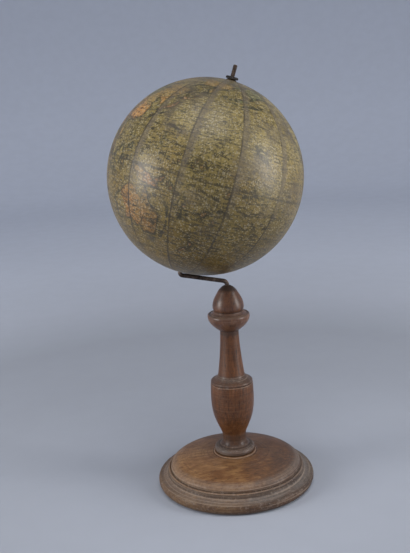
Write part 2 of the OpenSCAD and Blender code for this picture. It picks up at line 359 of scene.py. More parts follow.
class Wood(Shader):
    """Turned wood, stained red-brown and varnished long ago.

    along is the grain's direction, heart a point on the tree's middle line and ring_mm the width
    of a year's growth. stain holds the dark, middle and light tones. bands says at which heights,
    or radii where by_radius is true, ridges are worn pale, grooves are dirty and hollows get
    painted shade, dusty bloom and a painted grey sheen dull the varnish, and the surface is rough.
    The side that the last argument points to is painted lighter and cleaner: painted light.
    """

    DUST_AND_SHEEN = (0.125, 0.105, 0.093)
    WORN = (0.31, 0.22, 0.16)
    GRIME_AND_SHADE = (0.017, 0.011, 0.008)
    CHALKY = (0.25, 0.2, 0.165)
    PALE_LINE = (0.3, 0.225, 0.165)
    SCRATCH = (0.27, 0.19, 0.13)
    LIT_SIDE_REACH = 0.06

    def __init__(self, name, along, heart, ring_mm, stain, bands, varnish, by_radius=False,
                 sunned=(0, 0)):
        super().__init__(name, coat_weight=varnish, coat_roughness=0.28, ior=1.36)
        self.stain = stain
        self.bands = bands
        self.ring_w = ring_mm * MM
        self.x, self.y, self.z = self.split(self.place)
        self.radius = self.math("SQRT", self.x * self.x + self.y * self.y)
        self.position = self.radius if by_radius else self.z
        along = Vector(along).normalized()
        across = along.orthogonal().normalized()
        self.in_tree = []
        for way in (across, along.cross(across), along):
            self.in_tree.append((self.x - heart[0]) * way.x + (self.y - heart[1]) * way.y
                                + (self.z - heart[2]) * way.z)
        # Painted light: a gradient that grows towards one side, which the tone and the grey below make
        # lighter and cleaner, as if the lamps fell more on it
        self.lit_side = self.x * (sunned[0] / self.LIT_SIDE_REACH) + self.y * (sunned[1] / self.LIT_SIDE_REACH)

    def grained(self, scale, detail, roughness, squeeze):
        """Noise drawn out along the grain."""
        across, other, along = self.in_tree
        return self.noise(scale, detail, roughness, self.join(across, other, along * squeeze))

    def turned(self, scale, detail, roughness, drift):
        """Noise drawn out round the column, as a turning tool leaves it."""
        where = self.join(self.radius, self.z, (self.x + self.y) * drift)
        return self.noise(scale, detail, roughness, where)

    def banded(self, kind):
        """The strongest of several soft bands, each (centre, half width, strength) in mm."""
        parts = [(self.position - centre * MM).line(width * 0.4 * MM, width * MM) * strength
                 for centre, width, strength in self.bands[kind]]
        return self.most(*parts)

    def rings(self):
        """The darker late wood of each year's ring."""
        across, other, _ = self.in_tree
        wander = self.grained(34, 3, 0.55, 0.25)
        radius = self.math("SQRT", across * across + other * other)
        phase = self.math("FRACT", (radius + (wander - 0.5) * 6 * MM) / self.ring_w)
        return phase.step(0.2, 0.9) * phase.step(1.0, 0.93)

    def grain(self):
        """The stained wood itself."""
        dark, middle, light = self.stain
        late_wood = self.rings()
        self.fibre = self.grained(1250, 3, 0.65, 0.05)
        streak = self.grained(520, 3, 0.65, 0.12)
        self.flecks = self.grained(1300, 1, 0.5, 0.2).step(0.6, 0.7)
        self.patch = self.noise(30, 4, 0.6)
        blotch = self.noise(95, 4, 0.65)
        self.turning = self.turned(620, 4, 0.7, 0.06)
        # The side gradient taken off here paints the lit side lighter: painted light
        tone = (late_wood * 0.1 + (self.fibre - 0.5) * 0.7 + (streak - 0.5) * 0.9
                + (self.patch - 0.5) * 0.9 + (blotch - 0.5) * 0.7 + (self.turning - 0.5) * 0.55
                - self.lit_side * 0.3 + 0.45)
        self.ramp(tone, [(0.0, light), (0.45, middle), (1.0, dark)])
        self.coat(self.flecks * 0.55, scaled(dark, 0.3))

    def wear(self):
        """Dust and old wax that dull the varnish, with a painted grey sheen on faces that look up; pale
        knocked ridges; dirty grooves, and painted shade in hollows.
        """
        self.scuff = self.noise(230, 4, 0.7)
        upward = self.split(self.field("ShaderNodeNewGeometry", "Normal"))[2]
        # Grey over the varnish: dusty bloom in bands and on faces that look up, and a painted grey
        # sheen there as well, as if the pale studio were reflected; less of it on the side painted
        # lighter
        dust_and_sheen = self.banded("dust_and_sheen") * (self.scuff * 0.7 + self.patch * 0.7 + 0.1)
        settled_and_sheen = upward.step(0.2, 0.9) * (0.12 - self.lit_side * 0.24) * self.patch.step(0.35, 0.6)
        self.dust_and_sheen = dust_and_sheen + settled_and_sheen
        self.coat(self.dust_and_sheen, self.DUST_AND_SHEEN)
        self.worn = self.banded("worn") * self.scuff.step(0.25, 0.6)
        self.coat(self.worn * 0.6, self.WORN)
        # Dark bands: dirt in grooves and joints, and painted shade in the waist and under the cup
        self.grime_and_shade = self.banded("dirt_and_shade") * (self.scuff * 0.6 + 0.6)
        self.coat(self.grime_and_shade, self.GRIME_AND_SHADE)

    def weathering(self):
        """Mottling and fine turned lines where the surface is rough, and a few scratches."""
        dark = self.stain[0]
        mottle = self.noise(430, 4, 0.78)
        rough = self.banded("rough") + 0.09
        self.coat(mottle.step(0.52, 0.64) * rough * 0.5, self.CHALKY)
        self.coat(mottle.step(0.46, 0.36) * rough * 0.35, dark)
        lines = self.turned(900, 2, 0.6, 0.012)
        self.coat(lines.step(0.57, 0.68) * rough * 0.7, self.PALE_LINE)
        self.coat(lines.step(0.44, 0.34) * rough * 0.6, scaled(dark, 0.5))
        scratches = self.noise(1900, 1, 0.5, self.join(self.x * 0.2, self.y, self.z)).step(0.7, 0.76)
        self.coat(scratches * self.noise(60, 2).step(0.48, 0.6) * 0.4, self.SCRATCH)
        self.relief = (mottle + lines) * rough

    def build(self):
        self.grain()
        self.wear()
        self.weathering()
        roughness = ((self.patch - 0.5) * 0.3 + self.dust_and_sheen * 0.25 + self.worn * 0.15
                     + self.grime_and_shade * 0.3 + self.fibre * 0.08 + 0.42)
        height = (self.fibre * 0.35 + self.turning * 0.4 - self.flecks * 0.6 + self.scuff * 0.3
                  + self.relief)
        normal = self.bump(height, 0.07 * MM, 0.8)
        lacquer = self.bump(self.turning * 0.5 + self.noise(170, 3) * 0.8, 0.12 * MM, 0.6)
        return self.finish(roughness=roughness, normal=normal, coat_normal=lacquer)


# Metal, and the hidden layers of the ball

def dark_metal(name, base, rust, shine, roughness):
    """Old metal under a brown-black skin, rubbed where it's handled."""
    shader = Shader(name, metallic=0.85)
    patch = shader.noise(260, 4, 0.65)
    pits = shader.noise(1500, 3, 0.6)
    shader.ramp(patch, [(0.3, base), (0.55, rust), (0.75, shine)])
    shader.coat(pits.step(0.56, 0.7) * 0.6, scaled(base, 0.4))
    rough = (patch - 0.5) * -0.35 + (pits - 0.5) * 0.3 + roughness
    normal = shader.bump(pits * 0.6 + patch * 0.4, 0.05 * MM, 0.7)
    return shader.finish(roughness=rough, normal=normal)


def raw_material(name, low, high, scale, roughness, stretch=(1, 1, 1)):
    """Pulp, plaster or bare wood, mottled between two tones."""
    shader = Shader(name, stretch=stretch, roughness=roughness)
    body = shader.noise(scale, 5, 0.6)
    shader.ramp(body, [(0.3, low), (0.7, high)])
    return shader.finish(normal=shader.bump(body, 0.15 * MM, 0.6))


# The printed map

# Coast outlines as (longitude, latitude) in degrees, drawn coarse, as an old small globe shows
# them
LANDS = {
    "africa": [
        (-6, 35.5), (3, 37), (10, 37), (11, 33.5), (19, 30.5), (23, 32.5), (32, 31), (35.5, 24),
        (37.5, 19), (43, 12), (44, 10.5), (51, 12), (48, 5), (42, -1), (39.5, -6), (40.5, -12),
        (36, -18.5), (35, -24), (32.5, -27), (28, -33), (20, -34.8), (18, -32), (15, -26.5),
        (11.8, -17.5), (13.5, -11), (12, -5.5), (9, -1), (9.5, 4), (5, 4.5), (1, 6), (-7.5, 4.5),
        (-13, 8.5), (-16.7, 13), (-16.5, 19), (-16, 24), (-10, 30)],
    "eurasia": [
        (-5.5, 36), (-9, 37), (-9, 43), (-1.5, 43.5), (-4.5, 48.3), (1.5, 50), (4.5, 52.5), (8.5, 54),
        (8.2, 57), (10.5, 57.5), (10, 54.5), (14, 54), (20, 54.5), (21.5, 57.5), (24, 59), (29, 60),
        (22.5, 60), (21.5, 63), (25, 65.5), (22, 65.8), (17.5, 61), (16.5, 57), (12.8, 55.5), (11, 59),
        (5.5, 59), (5, 62), (12, 66), (20, 70), (28, 71), (40, 67.5), (34, 66.5), (38, 64), (44, 66.5),
        (60, 69), (68, 68.5), (72, 73), (80, 73.5), (95, 76), (104, 77.7), (113, 74), (130, 71),
        (140, 72.5), (160, 69.5), (178, 69), (190, 66.2), (180, 65), (179, 62.5), (170, 60), (163, 58),
        (162, 55), (157, 51), (156, 57), (163, 62), (155, 59.5), (142, 59), (135, 54.7), (141, 52.5),
        (140, 48), (133, 43), (128, 39.5), (129.3, 36), (126.3, 34.5), (126.5, 37.7), (121.5, 39.5),
        (118, 39), (122, 37), (119.3, 35), (121.8, 31), (119.5, 26), (114, 22.5), (108.5, 21.5),
        (106, 19.5), (109, 13), (106.8, 10.3), (104.8, 9), (103, 11.5), (100.8, 13.3), (99.5, 10),
        (103.5, 4.5), (104, 1.5), (101, 3), (98.3, 8), (98.5, 14), (95.5, 16), (94, 18), (91.5, 22.5),
        (87, 21.5), (80.2, 15.5), (80, 11), (77.5, 8), (75, 12), (72.8, 19), (70, 21), (67, 25),
        (61, 25.3), (57, 26.8), (51, 28), (48.5, 30), (50, 26.5), (51.5, 25), (54, 24.2), (56.3, 26.2),
        (59.8, 22.5), (55, 17.3), (45, 12.8), (43, 13), (39, 21), (35, 28), (34.5, 32), (36, 36),
        (30.5, 36.5), (27, 37), (26.5, 40), (31, 41.2), (38, 41), (41.5, 42), (37, 45.2), (39, 47.2),
        (35, 46), (33.5, 44.5), (30.5, 46.5), (28.5, 43.5), (28.8, 41.3), (24, 40.7), (23, 38),
        (21.5, 37), (19.5, 41.5), (13.8, 45.3), (12.5, 44), (18.3, 40), (16, 38), (10.5, 43),
        (8.5, 44.3), (3, 43), (0, 40), (-2, 36.7)],
    "north_america": [
        (-168, 65.7), (-156, 71.2), (-141, 69.7), (-128, 70.3), (-115, 68.5), (-95, 68), (-85, 69.5),
        (-82, 67), (-94, 61), (-92, 57), (-82.5, 55), (-80, 51.3), (-79, 54.7), (-78, 62.3),
        (-70, 61.5), (-65, 60), (-62, 57.5), (-56, 52), (-66, 50.2), (-65, 47.8), (-61, 46), (-66, 44),
        (-70.5, 43), (-74, 40.5), (-76, 35.5), (-81, 31.5), (-80.2, 25.5), (-82.8, 29), (-89.5, 29.2),
        (-97, 28), (-97.7, 22.5), (-95, 18.5), (-91, 19), (-87, 21.5), (-88.5, 16), (-83.5, 15),
        (-83, 10), (-79, 9.3), (-77.5, 8), (-80, 7.5), (-85.5, 10), (-92, 14.5), (-97, 15.8),
        (-105.5, 20.3), (-109.3, 25.7), (-114, 31.5), (-109.8, 23.2), (-114.5, 27.8), (-117.2, 32.7),
        (-122.5, 37.5), (-124.3, 41), (-124, 46.5), (-123, 49), (-130, 54.5), (-139.5, 59.7),
        (-150, 60), (-164, 54.7), (-158, 58.5), (-165, 62), (-161, 64.5)],
    "south_america": [
        (-77.5, 8.5), (-72, 12), (-62, 10.6), (-51.5, 4.2), (-50, 0), (-44, -2.6), (-35.2, -6),
        (-39, -13.5), (-40.8, -21.5), (-48, -25.5), (-53.5, -33.8), (-58.3, -34.2), (-57.5, -38),
        (-62, -39), (-65.5, -43.5), (-69, -52), (-65.5, -54.8), (-71, -54), (-75, -49), (-73.5, -40),
        (-71.5, -30), (-70.3, -18.4), (-76.2, -14), (-81, -5.5), (-80, -1), (-77.5, 3.5)],
    "australia": [
        (114, -22), (117, -20.7), (122, -18), (126, -14), (130, -12.3), (136.5, -12), (135.8, -15),
        (140, -17.6), (142.3, -11), (146, -19), (153, -25.5), (151, -33.8), (150, -37.5), (144, -38.3),
        (140, -37.8), (138, -34), (135.5, -34.8), (131, -31.6), (124, -33), (115.2, -34.3),
        (115.5, -31)],
    "greenland": [
        (-73, 78), (-60, 82), (-30, 83.3), (-20, 80), (-20, 74), (-24, 70), (-40, 65), (-43, 60),
        (-50, 62), (-53, 68), (-60, 75.5)],
    "britain": [
        (-5.5, 50), (1, 51), (0, 53.5), (-3, 56), (-2, 57.5), (-5, 58.6), (-5.5, 56), (-3, 54),
        (-5, 52)],
    "ireland": [(-10, 52), (-6, 52.2), (-6, 55), (-10, 54)],
    "iceland": [(-24, 65.5), (-18, 66.4), (-13.6, 65), (-19, 63.4)],
    "north_isles": [(52, 71), (58, 71), (69, 76.8), (60, 76)],
    "ice_isles": [(12, 79.5), (22, 80), (18, 77)],
    "honshu": [
        (130, 31.5), (132, 33.5), (136, 34), (140.5, 35.5), (142, 39.5), (140.5, 41.3), (139.5, 38.5),
        (136, 36.5), (131, 34.5)],
    "yezo": [(140, 42), (143, 42), (145.5, 43.5), (142, 45.4)],
    "sakhalin": [(142, 46.5), (143.5, 49), (143, 54), (142, 52)],
    "formosa": [(120.3, 22.5), (121, 22.3), (121.8, 25)],
    "luzon": [(120.3, 14), (120.5, 18), (122, 18.4), (124, 13)],
    "mindanao": [(122.3, 7), (125.7, 9.5), (126.2, 6.5)],
    "borneo": [(109, 1.5), (111, -3), (116, -4), (119, 1), (117, 7), (113, 3.2)],
    "sumatra": [(95.3, 5.5), (98, 4), (103.5, 0), (106, -3), (105.5, -5.8), (101.5, -3), (98.5, 1.5)],
    "java": [(105.2, -6.8), (110.8, -6.4), (114.5, -8), (114, -8.7), (108, -7.8)],
    "celebes": [
        (119.5, -5.5), (120.5, -3), (123, -4.5), (121.5, -1), (125, 1.5), (120.3, 1), (119, -2)],
    "new_guinea": [
        (131, -0.8), (134, -1), (137.5, -1.5), (145, -4.5), (150.5, -10.4), (143, -9), (138, -8.3),
        (133, -4)],
    "ceylon": [(79.8, 9.5), (81.8, 7.5), (80.5, 6)],
    "madagascar": [(49.3, -12), (50.3, -16), (47, -25), (44.3, -24.5), (44.3, -17)],
    "tasmania": [(145, -41), (148, -41), (147, -43.5)],
    "north_zealand": [(173, -34.5), (178, -37.8), (175, -41.5), (174.5, -38)],
    "south_zealand": [(173, -40.7), (174, -42), (169, -46.5), (167, -45.5)],
    "baffin": [(-80, 73.5), (-62, 66), (-65, 63), (-77, 66)],
    "victoria": [(-117, 70), (-105, 69), (-107, 73), (-117, 73)],
    "ellesmere": [(-90, 77), (-65, 81.5), (-70, 83), (-90, 81)],
    "cuba": [(-84.8, 22), (-80, 23), (-74.3, 20.2), (-78, 20.5)],
    "haiti": [(-74, 19.5), (-68.5, 18.5), (-72, 17.9)],
}
LAKES = {
    "caspian": [(50, 37), (54, 37), (53, 41), (51, 45), (49, 46.5), (47, 44.5), (49.5, 40)],
    "aral": [(58.5, 44), (61, 44), (61, 46.5), (59, 46)],
    "superior": [(-92, 46.7), (-85, 46.7), (-84.5, 44), (-87, 42), (-88, 48)],
    "nyanza": [(32, -2.3), (34, -1.5), (33.5, 0.4), (32, 0)],
}
# Mountain chains as lines
CHAINS = [
    [(68, 35), (74, 36), (80, 31), (88, 28), (97, 28)], [(60, 52), (59, 60), (65, 67)],
    [(75, 38), (83, 43), (90, 49), (100, 50), (115, 55), (132, 62)], [(6, 44.5), (10, 46.5), (16, 47)],
    [(-1, 42.7), (2, 42.5)], [(40, 43.3), (48, 41.5)], [(36, 38), (47, 34), (54, 29)],
    [(-8, 31), (0, 34), (9, 36)], [(36, 14), (38, 6), (36, -3), (34, -12)], [(24, -31), (30, -28)],
    [(74.5, 19), (76.5, 10)], [(8, 61), (14, 66), (19, 69)],
    [(-150, 63), (-135, 60), (-122, 52), (-113, 46), (-106, 38), (-105, 28), (-98, 18)],
    [(-83, 35), (-76, 41), (-71, 45)],
    [(-73, 9), (-76, 2), (-78, -6), (-71, -15), (-68, -23), (-70, -33), (-72, -45), (-70, -53)],
    [(142, -17), (149, -25), (148, -36)], [(13, 62), (7, 61)], [(99, 28), (99, 19)],
]
# Small islands: a middle point and a radius
ISLANDS = [
    (-155.6, 19.6, 1.3), (-157, 21, 0.9), (-159.5, 22, 0.8), (144.8, 13.5, 0.8), (145.7, 16.5, 0.8),
    (145.5, 20, 0.7), (142.2, 27, 0.8), (134.5, 7.4, 0.9), (138, 9.5, 0.8), (151.8, 7.4, 1.0),
    (158.2, 6.9, 1.0), (163, 5.3, 0.8), (168, 9, 1.1), (171, 7, 1.2), (166.5, 6, 0.9), (173, 1.6, 1.0),
    (174.8, -1.2, 0.9), (148.6, -5.8, 1.5), (151, -5, 1.4), (152.6, -3.4, 1.2), (155.3, -6.3, 1.3),
    (157.5, -8, 1.2), (160, -9.6, 1.3), (161.8, -10.6, 1.0), (166, -10.8, 0.9), (167, -15.3, 1.4),
    (168.4, -17.7, 0.9), (169.3, -19.6, 0.8), (164.6, -20.8, 1.1), (166.2, -21.9, 1.1),
    (178, -17.8, 1.4), (179.5, -16.4, 1.1), (-175.2, -20.5, 1.0), (-172.4, -13.6, 1.1),
    (-170.6, -14.3, 0.8), (-159.8, -20.5, 1.0), (-157.4, 1.9, 0.9), (-171.5, -3.5, 0.9),
    (-151.4, -16.6, 0.9), (-149.5, -17.7, 1.2), (-145, -15.5, 1.0), (-142, -17.2, 0.9),
    (-140, -9.3, 1.2), (-138.6, -10.6, 0.8), (-135, -23.2, 0.8), (-130, -25, 0.7), (-148, -23.5, 0.7),
    (-168, 53.3, 1.2), (-172.5, 52.4, 1.0), (-177, 51.9, 1.0), (178, 51.8, 0.8), (173, 52.9, 0.9),
    (146, 44.2, 1.2), (149.8, 46, 0.9), (152.6, 47.8, 0.8), (155, 50, 0.9), (128, 27, 1.0),
    (125, 24.6, 0.8), (130.5, 32.6, 1.9), (133.5, 33.6, 1.3), (-109.4, -27, 0.7), (-91, -0.6, 1.2),
]
# Outlines round groups of islands, and ships' courses, as lines
COURSES = [
    [(155, -1), (162, -4), (166, -4), (172, -3), (176, -6), (179, -7), (185, -8)],
    [(170, -7), (173, -8), (175, -8), (175, -10), (180, -13), (182, -17)],
    [(156, -4), (160, -8), (164, -11), (163, -15), (161, -17)],
    [(161, -15), (165, -17), (167, -20), (165, -23)],
    [(176, -21), (179, -19), (182, -16), (187, -13), (193, -14)],
    [(195, -10), (197, -11), (201, -12), (206, -12), (209, -10)],
    [(190, -14.5), (194, -16), (199, -18), (204, -20), (208, -20), (216, -23)],
    [(197, -3), (201, -2), (204, -0.5), (207, -2)],
    [(166, 8), (168.5, 10.5), (172, 10), (174.5, 7.5), (172, 4.5), (168, 3.5), (165.5, 5.5), (166, 8)],
    [(142, 25), (148, 24.5), (154, 22)],
    [(119, 19), (124, 21), (127, 26), (133, 29.5), (142, 33.5), (152, 35)],
    [(125, 33.5), (131, 39.5), (140, 43.5), (148, 50), (157, 53)],
    [(141, -19), (148, -14), (153, -14), (158, -19), (158, -30), (154, -38)],
    [(200, 25), (203, 19), (208, 18), (206, 23), (200, 25)],
    [(212, 52), (204, 50), (196, 50), (188, 48), (180, 49)],
]
# Tints laid by hand, and the countries that have them, as middle points
TINTS = {
    "pink": (0.4, 0.155, 0.075),
    "ochre": (0.375, 0.215, 0.062),
    "green": (0.145, 0.17, 0.062),
    "buff": (0.3, 0.235, 0.105),
    "straw": (0.36, 0.275, 0.09),
    "olive": (0.235, 0.195, 0.075),
    "orange": (0.66, 0.28, 0.075),
}
COUNTRIES = {
    "pink": [
        (24, -30), (30, -20), (36, -4), (30, 26), (7, 9), (2, 47), (76, 22), (96, 21), (102, 4),
        (138, 37), (146, -34), (145, -7), (147, -42), (174, -41), (-95, 58), (-58, 4), (-64, -17),
        (-2, 53)],
    "ochre": [
        (36, -14), (18, -10), (30, 12), (3, 27), (-9, 9), (12, 3), (46, -19), (-4, 40), (18, 47),
        (36, 55), (47, 16), (54, 32), (60, 60), (83, 26), (96, 36), (113, 38), (106, 15), (105, 65),
        (125, 45), (155, 66), (101, 0), (121, -2), (136, -4), (-72, 55), (-85, 38), (-88, 15),
        (-76, -8), (-57, -32), (-79, 22)],
    "green": [
        (40, 6), (15, 14), (-6, 30), (10, 51), (12, 43), (26, 63), (33, 39), (66, 33), (100, 45),
        (101, 16), (110, -7), (-150, 65), (-98, 40), (-66, 7), (-50, -10), (-71, -33), (-8, 53)],
    "buff": [
        (55, 21), (88, 32), (-120, 60), (-42, 72), (-68, -47)],
    "straw": [
        (17, -23), (24, 0), (18, 27), (-3, 17), (46, 4), (15, 62), (45, 48), (24, 43), (45, 26),
        (62, 42), (80, 62), (78, 13), (84, 40), (130, 62), (113, 1), (122, 13), (119, -25), (-115, 42),
        (-102, 25), (-74, 5), (-66, -34), (-19, 65)],
    "olive": [
        (75, 50)],
    "orange": [
        (108, 32), (116, 28), (127, 38), (130, -21), (134, -29), (145, -23)],
}
FAR_DEG = 14.0


def edge_distance(longitude, latitude, outline, closed=True):
    """Distance in degrees from each place to an outline, and whether the place is inside it."""
    corners = np.array(outline, float)
    middle = corners[:, 0].mean()
    x = (longitude - middle + 180) % 360 - 180 + middle
    squeeze = np.cos(np.radians(np.clip(latitude, -84, 84)))
    nearest = np.full(longitude.shape, FAR_DEG)
    inside = np.zeros(longitude.shape, bool)
    near = (latitude > corners[:, 1].min() - FAR_DEG) & (latitude < corners[:, 1].max() + FAR_DEG)
    px, py, ps = x[near], latitude[near], squeeze[near]
    best = np.full(px.shape, FAR_DEG)
    crossings = np.zeros(px.shape, bool)
    pairs = list(zip(corners, np.roll(corners, -1, axis=0)))
    for (x0, y0), (x1, y1) in pairs if closed else pairs[:-1]:
        dx, dy = (x1 - x0) * ps, y1 - y0
        ax, ay = (px - x0) * ps, py - y0
        share = np.clip((ax * dx + ay * dy) / (dx * dx + dy * dy + 1e-9), 0, 1)
        best = np.minimum(best, np.hypot(ax - share * dx, ay - share * dy))
        if closed and y0 != y1:
            crossings ^= ((y0 > py) != (y1 > py)) & (px < (x1 - x0) * (py - y0) / (y1 - y0) + x0)
    nearest[near] = best
    inside[near] = crossings
    return nearest, inside


def point_distance(longitude, latitude, east, north):
    x = (longitude - east + 180) % 360 - 180
    return np.hypot(x * np.cos(np.radians(latitude)), latitude - north)


def line_distance(longitude, latitude, lines):
    """Distance in degrees from each place to the nearest of some lines."""
    nearest = np.full(longitude.shape, FAR_DEG)
    for line in lines:
        nearest = np.minimum(nearest, edge_distance(longitude, latitude, line, closed=False)[0])
    return nearest


def coast_field(longitude, latitude):
    """Signed distance in degrees to the nearest coast: above 0 on land, below 0 at sea."""
    coast = np.full(longitude.shape, -FAR_DEG)
    for outline in LANDS.values():
        distance, inside = edge_distance(longitude, latitude, outline)
        coast = np.maximum(coast, np.where(inside, distance, -distance))
    for outline in LAKES.values():
        distance, inside = edge_distance(longitude, latitude, outline)
        coast = np.minimum(coast, np.where(inside, -distance, distance))
    for east, north, size in ISLANDS:
        coast = np.maximum(coast, size - 0.3 - point_distance(longitude, latitude, east, north))
    return coast


def country_fields(longitude, latitude):
    """Distance to the nearest border between hand-tinted countries, and the tint of each place."""
    first = np.full(longitude.shape, 1e6)
    second = first.copy()
    tint = np.zeros((*longitude.shape, 3))
    for name, places in COUNTRIES.items():
        for east, north in places:
            distance = point_distance(longitude, latitude, east, north)
            closer = distance < first
            second = np.where(closer, first, np.minimum(second, distance))
            first = np.where(closer, distance, first)
            tint[closer] = TINTS[name]
    return (second - first) / 2, tint


class Printing(Shader):
    """The printed, tinted and varnished paper, browned by age, with painted shade on its southern half
    and painted glints. Every layer is laid as soon as it's made, because Cycles can hold only so
    many numbers at a time."""

    INK = (0.026, 0.023, 0.014)
    # Light specks: flecks of bare paper, and painted glints of the crackled varnish
    BARE_AND_GLINT = (0.46, 0.41, 0.29)
    PAPER = [(0.28, (0.168, 0.127, 0.04)), (0.5, (0.268, 0.206, 0.069)), (0.72, (0.355, 0.28, 0.104))]
    FOXING = (0.125, 0.095, 0.042)
    SHORE = (0.08, 0.1, 0.05)
    SOUTH_BROWN_AND_SHADE = (0.68, 0.54, 0.24)
    BROWN_MIDDLE = (0.86, 0.68, 0.45)
    DULL = (0.11, 0.09, 0.07)
    STAIN = (0.06, 0.04, 0.02)
    SEAM_DIRT = (0.042, 0.031, 0.02)
    FADED = (0.36, 0.31, 0.17)

    def __init__(self):
        super().__init__("map_paper", BALL_FRAME, coat_weight=0.22, coat_roughness=0.28, ior=1.38)
        self.east, self.north, _ = self.split(self.attribute("where", "Vector"))
        self.flat_x = self.east * self.math("COSINE", self.north * math.radians(1))

    def ink(self, amount):
        self.coat(amount * self.wear, self.INK)

    def engraved(self, scale, detail, across, up):
        """Noise that lies along the parallels or stands along the meridians."""
        return self.noise(scale, detail, 0.5, self.join(self.flat_x * across, self.north * up))

    def paper(self):
        """Bare paper, the hand-laid tints, browned parts, painted shade that darkens the southern half,
        and the places where ink has faded.
        """
        self.ramp(self.noise(18, 5, 0.62), self.PAPER)
        self.coat(self.noise(125, 5, 0.72).step(0.64, 0.38) * 0.25, self.FOXING)
        wander = (self.noise(160, 4, 0.6) - 0.5) * 2.6 + (self.noise(520, 3, 0.6) - 0.5) * 1.2
        self.coast = self.attribute("coast") + wander
        self.land = self.coast.step(-0.15, 0.15)
        strength = self.noise(33, 4, 0.65).step(0.3, 0.65) * 0.45 + 0.14
        self.coat(strength * self.land, self.attribute("tint", "Color"))
        self.course = self.attribute("courses") + (self.noise(130, 4, 0.65) - 0.5) * 4.2
        shore = self.coast.step(1.9, 0.3) * self.coast.step(-1.6, 0.0)
        shore = self.most(shore, self.course.step(1.3, 0.2)) * self.noise(30, 2).step(0.4, 0.58)
        self.coat(shore * 0.4, self.SHORE)
        # Painted shade: the southern half, the underside of the ball, is made darker and browner
        self.coat(self.north.step(25, -60) * 0.95, self.SOUTH_BROWN_AND_SHADE, "MULTIPLY")
        middle = self.noise(13, 3, 0.6).step(0.42, 0.6) * abs(self.north).step(40, 5)
        self.coat(middle * 0.4, self.BROWN_MIDDLE, "MULTIPLY")
        self.patchy = self.noise(34, 4, 0.65).step(0.3, 0.62)
        self.wear = self.noise(60, 4, 0.75).step(0.28, 0.55) * 0.5 + 0.5 + self.north.step(0, -50) * 0.3

    def strokes(self):
        """Fine engraved work in patches: lying strokes in some, standing ones in others."""
        lying = self.noise(42, 3, 0.6).step(0.46, 0.54)
        dashes = self.engraved(1.0, 1, 0.42, 1.3).step(0.52, 0.6)
        uprights = self.engraved(1.0, 1, 1.3, 0.42).step(0.52, 0.6)
        mixed = uprights + (dashes - uprights) * lying
        self.ink(mixed * (self.patchy * 0.26 + 0.08))

    def dots(self, scale, size, share, amount, colour):
        """Dots in a share of the cells."""
        cell = self.cells(scale)
        chance = self.split(Field(self, cell.outputs["Color"]))[0]
        near = Field(self, cell.outputs["Distance"]).step(size + 0.08, size)
        self.coat(near * chance.step(share + 0.02, share) * amount, colour)

    def names(self, length, height, letter, tall, seed, share, amount):
        """Short words of upright strokes, which stand for names too small to read. length and
        height are a word's room, letter the step between strokes and tall half their height, in
        degrees."""
        across = self.flat_x / length + seed
        up = self.north / height + seed
        cell = self.cells(1.0, self.join(across, up), randomness=0.85, voronoi_dimensions="2D")
        centre_x, centre_y, _ = self.split(Field(self, cell.outputs["Position"]))
        chance, reach, slant = self.split(Field(self, cell.outputs["Color"]))
        along_row = (across - centre_x) * length
        off_row = (up - centre_y) * height + along_row * (slant - 0.5) * 0.5
        place_in_row = along_row / letter + reach * 9
        kind = self.white(self.join(self.math("FLOOR", place_in_row), reach * 50))
        bar = (self.math("FRACT", place_in_row) - 0.5).line(0.17, 0.2) * kind.step(0.1, 0.12)
        middle = abs(off_row).step(tall * 0.75, tall * 0.25) * kind.step(0.45, 0.47)
        ends = (abs(off_row) + kind * tall * 0.4).step(tall * 1.3, tall)
        stroke = self.most(bar, middle * 0.8) * ends
        row = (abs(along_row) - reach * length * 0.3).step(length * 0.2, length * 0.18)
        self.ink(row * stroke * chance.step(share + 0.02, share) * amount)

    def coasts(self):
        """Coast lines and their hatching, borders, mountain chains and courses."""
        self.ink(self.coast.line(0.3, 0.34) * (self.noise(210, 2).step(0.3, 0.6) * 0.5 + 0.22))
        hatching = self.math("PINGPONG", self.north, 0.7).step(0.3, 0.5) * self.coast.step(-2.6, -0.3)
        border = self.attribute("border") + (self.noise(230, 3, 0.6) - 0.5) * 2.4
        inland = border.line(0.15, 0.25) * self.land
        self.ink(self.most(hatching * (1 - self.land), inland) * 0.5)
        chain = self.attribute("chains") + (self.noise(300, 3) - 0.5) * 2.6
        hachures = self.engraved(3.2, 2, 0.5, 1.4).step(0.42, 0.6)
        self.ink(chain.step(1.9, 0.1) * hachures * self.land * 0.85)
        self.ink(self.course.line(0.4, 0.45) * self.noise(330, 2).step(0.34, 0.5) * 0.75)

    def graticule(self):
        """Meridians and parallels ten degrees apart, the tropics and circles, and the equator."""
        for angle in (self.east, self.north):
            self.ink(self.math("PINGPONG", angle, 5.0).step(0.4, 0.12) * 0.32)
        for latitude in (23.45, 66.5):
            self.ink((abs(self.north) - latitude).line(0.22, 0.3) * 0.45)
        ticks = self.math("PINGPONG", self.east, 1.0).step(0.57, 0.32) * 0.3 + 0.7
        rubbed = self.noise(48, 4, 0.7).step(0.35, 0.6) * 0.5 + 0.22
        self.ink((abs(self.north) + self.noise(150, 2) * 0.5).step(1.2, 0.75) * ticks * rubbed)

    def ageing(self):
        """A dull band where one gore overlaps the next, stains, dirty seams, faded places."""
        west_edge = self.attribute("west_edge")
        upper = self.north.step(-25, 15)
        ragged = self.noise(75, 4, 0.65) * 9.0
        self.dull = (west_edge - ragged).step(1.6, -1.6) * (upper * 0.46 + 0.12)
        stain = self.noise(42, 4, 0.6).step(0.5, 0.66) * (upper * 0.22 + 0.26)
        self.coat(self.most(self.dull, stain), self.DULL)
        self.coat(self.noise(85, 5, 0.7).step(0.52, 0.72) * 0.28, self.STAIN)
        seam = self.math("MINIMUM", west_edge, self.attribute("east_edge")).step(1.15, 0.2)
        lodged = self.noise(70, 4).step(0.36, 0.62) * 0.6 + 0.24 - upper * 0.2
        self.coat(seam * lodged, self.SEAM_DIRT)
        self.coat(self.noise(9, 2).step(0.52, 0.75) * 0.12, self.FADED)

